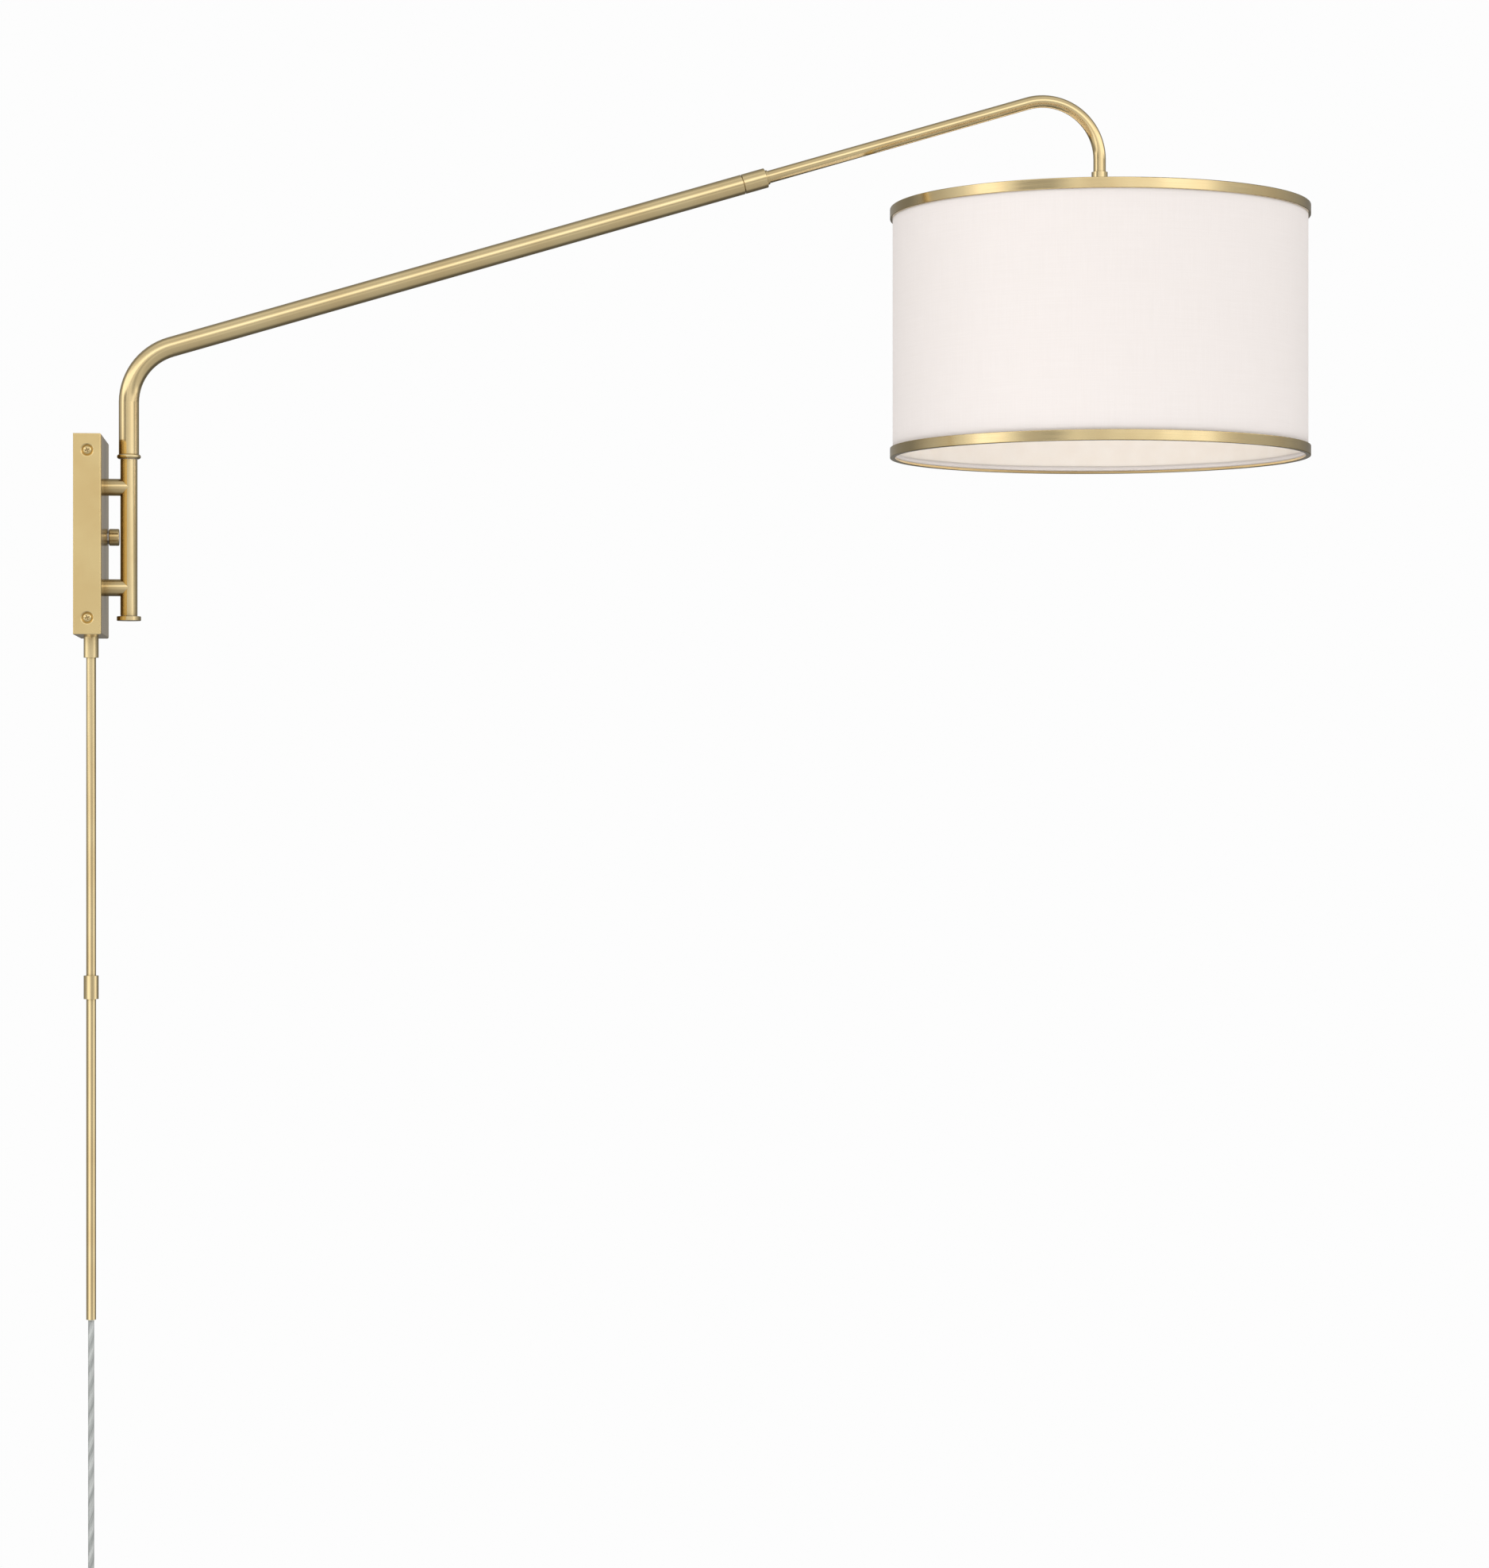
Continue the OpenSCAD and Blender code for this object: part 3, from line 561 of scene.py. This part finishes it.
def plug_blade(y):
    """A flat blade with a rounded tip and a hole in it."""
    outline = bpy.data.curves.new("plug_blade", "CURVE")
    outline.dimensions = "2D"
    outline.fill_mode = "BOTH"
    outline.extrude = (BLADE_HALF_THICKNESS - BLADE_EDGE) * mm
    outline.bevel_depth = BLADE_EDGE * mm
    outline.bevel_resolution = 2
    root = [(-BLADE_HALF_WIDTH, 0.5), (BLADE_HALF_WIDTH, 0.5)]
    tip = arc(-13, BLADE_HALF_WIDTH, 0, -math.pi, 12)
    hole = arc(-11.5, 1.6, 0, math.tau, 24)[:-1]
    for points in (root + tip, hole):
        spline = outline.splines.new("POLY")
        spline.use_cyclic_u = True
        spline.points.add(len(points) - 1)
        for point, (u, v) in zip(spline.points, points):
            point.co = (u * mm, v * mm, 0, 1)
    outline.materials.append(steel)
    blade = place(bpy.data.objects.new("plug_blade_" + ("right" if y > 0 else "left"), outline))
    blade.location = (PLUG_X * mm, (PLUG_Y + y) * mm, (PLUG_TOP + PLUG_FACE) * mm)
    blade.rotation_euler = (math.radians(90), 0, 0)
    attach(blade, "wall_bracket")
    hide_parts("plug_blades")
    return blade


blades = [plug_blade(y) for y in (-BLADE_SPACING / 2, BLADE_SPACING / 2)]


def strap_rows(half_x, half_y, corner, height, width, thickness):
    """Cross-sections of a strap once round a rounded rectangle, with its end lapped over its start."""
    lap_steps = 14
    lift_steps = 5
    route = []
    flat_x, flat_y = half_x - corner, half_y - corner
    for quarter, (sx, sy) in enumerate(((1, 1), (-1, 1), (-1, -1), (1, -1))):
        for k in range(9):
            a = math.tau * (quarter + k / 8) / 4
            out = Vector((math.cos(a), math.sin(a), 0))
            route.append((Vector((sx * flat_x, sy * flat_y, 0)) + out * corner, out))
        if quarter in (0, 2):
            route += [(Vector((sx * flat_x * (1 - k / 3), sy * half_y, 0)), out) for k in range(1, 6)]
        else:
            route += [(Vector((sx * half_x, sy * flat_y * (1 - k / 6), 0)), out) for k in range(1, 12)]
    closed = len(route)
    # The strap's section: how far out through its thickness, and how far up as a share of its width
    section = ((0, -0.5), (0.3, -0.56), (1, -0.5), (1, 0.5), (0.3, 0.56), (0, 0.5))
    rows = []
    for i in range(closed + lap_steps):
        place_on, out = route[i % closed]
        raised = (thickness + 0.1) * smooth((i - closed + lift_steps) / lift_steps)
        inner = Vector((CORD_X, 0, height)) + place_on + out * raised
        rows.append([inner + out * thickness * side + Vector((0, 0, width * up))
                     for side, up in section])
    return rows


TIE_HALF_X = 8.7
TIE_HALF_Y = 26.7
TIE_CORNER = 2.9
TIE_WIDTH = 10
TIE_THICKNESS = 0.9
tie_height = (FOLD_TOP + FOLD_BOTTOM) / 2
tie = grid_piece("hook_and_loop_tie",
                 strap_rows(TIE_HALF_X, TIE_HALF_Y, TIE_CORNER, tie_height, TIE_WIDTH, TIE_THICKNESS),
                 strap_look, "wall_bracket", caps=True)
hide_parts("hank_tie")

# ---------- the shade's cloth, hems and screw shell ----------

CLOTH_BOTTOM = 83.8
CLOTH_TOP = 322.7
CLOTH_THICKNESS = 0.45
SEAM_ANGLE = 105
SEAM_OVERLAP = 12
# The lapped end starts to rise this far before a full turn, over that length and to that height
LAP_START = 14
LAP_RISE = 12
LAP_HEIGHT = 0.55
DRUM_STEPS = 240
CLOTH_ROWS = 24


def on_drum(angle, radius, height):
    return (SHADE_X + radius * math.cos(angle), radius * math.sin(angle), height)


def cloth_rows():
    """One wrap of cloth whose far end lies over its near end at the seam."""
    sweep = math.tau + SEAM_OVERLAP / SHADE_R
    rows = []
    for i in range(CLOTH_ROWS + 1):
        height = CLOTH_BOTTOM + (CLOTH_TOP - CLOTH_BOTTOM) * i / CLOTH_ROWS
        row = []
        for k in range(DRUM_STEPS + 1):
            turned = sweep * k / DRUM_STEPS
            lap = smooth(((turned - math.tau) * SHADE_R + LAP_START) / LAP_RISE)
            row.append(on_drum(math.radians(SEAM_ANGLE) + turned, SHADE_R + LAP_HEIGHT * lap, height))
        rows.append(row)
    return rows


cloth = grid_piece("drum_cloth", cloth_rows(), cloth_look, "extension", wrap=False)
thicken(cloth, CLOTH_THICKNESS, -1)
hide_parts("shade_fabric")


LINING_R = 198.55
HEM_THICKNESS = 0.4
HEM_WAVES = 9
HEM_WAVE_HEIGHT = 0.15


def hem(name, low, high):
    """The cloth's turned-in edge, glued to the lining, whose cut edge is a little wavy."""
    face = LINING_R - HEM_THICKNESS
    rows = []
    for radius, height in ((LINING_R, low), (face + 0.05, low + 0.2), (face, (low + high) / 2),
                           (face + 0.05, high - 0.3), (LINING_R, high)):
        turns = [math.tau * k / DRUM_STEPS for k in range(DRUM_STEPS)]
        rows.append([on_drum(a, radius, height + HEM_WAVE_HEIGHT * math.sin(HEM_WAVES * a)) for a in turns])
    return grid_piece(name, rows, cloth_look, "extension")


hems = [hem("hem_bottom", 84.6, 90), hem("hem_top", 312.2, 316.3)]


SHELL_BOTTOM = 264.4
SHELL_TOP = 291.4
SHELL_R = 13.45
SHELL_PITCH = 3.63
SHELL_WAVE = 0.3
SHELL_FADE = 3


def screw_shell_rows():
    """The E26 socket's rolled thread, which fades out at both ends."""
    around, rise = 60, 96
    rows = []
    for i in range(rise + 1):
        height = SHELL_BOTTOM + (SHELL_TOP - SHELL_BOTTOM) * i / rise
        fade = smooth((height - SHELL_BOTTOM) / SHELL_FADE) * smooth((SHELL_TOP - height) / SHELL_FADE)
        row = []
        for k in range(around):
            wave = math.cos(math.tau * (height / SHELL_PITCH - k / around))
            row.append(on_drum(math.tau * k / around, SHELL_R + SHELL_WAVE * fade * wave, height))
        rows.append(row)
    return rows


screw_shell = grid_piece("screw_shell", screw_shell_rows(), band_brass, "extension")
thicken(screw_shell, 0.25, 0)
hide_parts("socket_shell")

# ---------- floor, world and lights ----------

FLOOR_Z = -1.42
FLOOR_CORNERS = [(-2.2, -5), (3.2, -5), (3.2, 2), (-2.2, 2)]

floor_mesh = bpy.data.meshes.new("floor")
floor_mesh.from_pydata([(x, y, FLOOR_Z) for x, y in FLOOR_CORNERS], [], [(0, 1, 2, 3)])
floor_mesh.materials.append(cast("floor", (0.93, 0.93, 0.92), 0.7, 0.0, 40.0, 0.02, 0.98))
floor = place(bpy.data.objects.new("floor", floor_mesh))
floor.visible_glossy = False
floor.visible_diffuse = False
floor.visible_shadow = False

# How bright the studio that the brass mirrors is, a little above eye level, by azimuth in degrees:
# 0 is the camera's side and 90 is +X
ROUND = [
    (-180, 0.3), (-136, 0.2), (-121, 0.4), (-98, 0.6), (-90, 0.72), (-84, 1.0), (-78, 1.4),
    (-68, 1.4), (-60, 0.8), (-52, 0.3), (-36, 0.2), (-31, 0.42), (-23, 0.82), (-15, 0.7),
    (-8, 0.72), (-2, 0.86), (10, 0.95), (19, 1.0), (27, 1.3), (48, 1.2), (58, 0.68), (66, 0.48),
    (76, 0.45), (92, 0.46), (124, 0.3), (145, 0.2), (180, 0.3)]
# At about eye level
LOW = [
    (-180, 0.3), (-130, 0.2), (-110, 0.5), (-90, 1.0), (-81, 1.4), (-57, 1.4), (-36, 0.9),
    (-20, 0.5), (-4, 0.7), (3, 0.6), (14, 0.75), (26, 0.62), (36, 0.62), (44, 1.05), (52, 1.4),
    (62, 1.1), (74, 0.5), (90, 0.35), (110, 0.22), (135, 0.15), (180, 0.3)]
# Below it
LOWER = [
    (-180, 0.2), (-130, 0.25), (-100, 0.35), (-84, 0.32), (-70, 0.5), (-56, 1.0), (-44, 1.3),
    (-24, 1.35), (-8, 0.9), (4, 0.5), (15, 0.46), (38, 0.48), (51, 0.72), (64, 1.0), (78, 1.25),
    (93, 0.68), (110, 0.28), (132, 0.18), (180, 0.2)]
# And well above and below eye level on the camera's side, by elevation in degrees
OVER = [
    (-90, 0.18), (-80, 0.28), (-68, 0.45), (-45, 0.5), (-30, 0.52), (-22, 0.62), (-8, 0.68),
    (2, 0.75), (7, 1.0), (12, 1.45), (26, 1.35), (34, 0.85), (46, 0.6), (56, 0.62), (68, 0.74),
    (80, 0.55), (90, 0.4)]
# Well above and below it on the far side
BEHIND_HIGH = 0.28
BEHIND_LOW = 0.12
# Where one set of levels gives way to the next, as sines of the elevation
LOWER_TO_LOW = (-0.01, 0.02)
LOW_TO_ROUND = (0.03, 0.085)
ROUND_TO_OVER = (0.18, 0.22)
LOWER_TO_OVER = (-0.14, -0.22)
WHITE = 0.982


def level_ramp(tree, angle, limit, stops):
    """The level at an angle between -limit and limit degrees, from (angle, level) stops."""
    made = node(tree, "ValToRGB", {0: spread(tree, angle, math.radians(-limit), math.radians(limit))})
    elements = made.color_ramp.elements
    for degrees, level in stops[1:-1]:
        elements.new((degrees + limit) / (2 * limit))
    for element, (degrees, level) in zip(elements, stops):
        element.color = (level, level, level, 1)
    return made.outputs[0]


world = bpy.data.worlds.new("studio")
world.use_nodes = True
scene.world = world
sky = world.node_tree
east, north, up = node(sky, "SeparateXYZ", {0: node(sky, "TexCoord").outputs["Generated"]}).outputs
azimuth = maths(sky, "ARCTAN2", east, maths(sky, "MULTIPLY", north, -1))
lower_side, low_side, round_side = (level_ramp(sky, azimuth, 180, stops) for stops in (LOWER, LOW, ROUND))
low = blend_color(sky, spread(sky, up, *LOWER_TO_LOW), lower_side, low_side)
eye_level = blend_color(sky, spread(sky, up, *LOW_TO_ROUND), low, round_side)
before = level_ramp(sky, maths(sky, "ARCSINE", up), 90, OVER)
behind = spread(sky, up, -0.1, 0.1, BEHIND_LOW, BEHIND_HIGH)
over = blend_color(sky, spread(sky, north, -0.1, 0.35), before, behind)
off_level = maths(sky, "MAXIMUM", spread(sky, up, *ROUND_TO_OVER), spread(sky, up, *LOWER_TO_OVER))
room = node(sky, "Background", {"Color": blend_color(sky, off_level, eye_level, over)})
white = node(sky, "Background", {"Color": rgb(1, 1, 1), "Strength": WHITE})
seen = node(sky, "LightPath").outputs["Is Camera Ray"]
mixed = node(sky, "MixShader", {0: seen, 1: room.outputs[0], 2: white.outputs[0]})
sky.links.new(mixed.outputs[0], sky.nodes["World Output"].inputs["Surface"])
scene.view_settings.view_transform = "Standard"

LAMP_CENTRE = Vector((0.5, 0, -0.1))
LIGHT_DISTANCE = 7


def softbox(name, azimuth, elevation, width, height, brightness):
    """A soft light for cloth and plastic, its place and size in degrees seen from the lamp. It doesn't
    show in the brass, which mirrors the studio."""
    a, e = math.radians(azimuth), math.radians(elevation)
    data = bpy.data.lights.new(name, "AREA")
    data.shape = "RECTANGLE"
    data.size = 2 * LIGHT_DISTANCE * math.tan(math.radians(width / 2))
    data.size_y = 2 * LIGHT_DISTANCE * math.tan(math.radians(height / 2))
    data.energy = brightness * math.pi * data.size * data.size_y
    light = place(bpy.data.objects.new(name, data))
    away = Vector((math.sin(a) * math.cos(e), -math.cos(a) * math.cos(e), math.sin(e)))
    light.location = LAMP_CENTRE + away * LIGHT_DISTANCE
    light.rotation_euler = away.to_track_quat("Z", "Y").to_euler()
    light.visible_camera = False
    light.visible_glossy = False


softbox("front_light", 5, 8, 80, 60, 0.1)
softbox("left_light", -85, 5, 60, 60, 0.99)
softbox("right_light", 95, 5, 60, 60, 0.68)
softbox("back_light", 180, 10, 80, 60, 1.0)
softbox("low_light", 0, -72, 80, 80, 3.0)
softbox("top_light", 0, 80, 80, 60, 0.3)
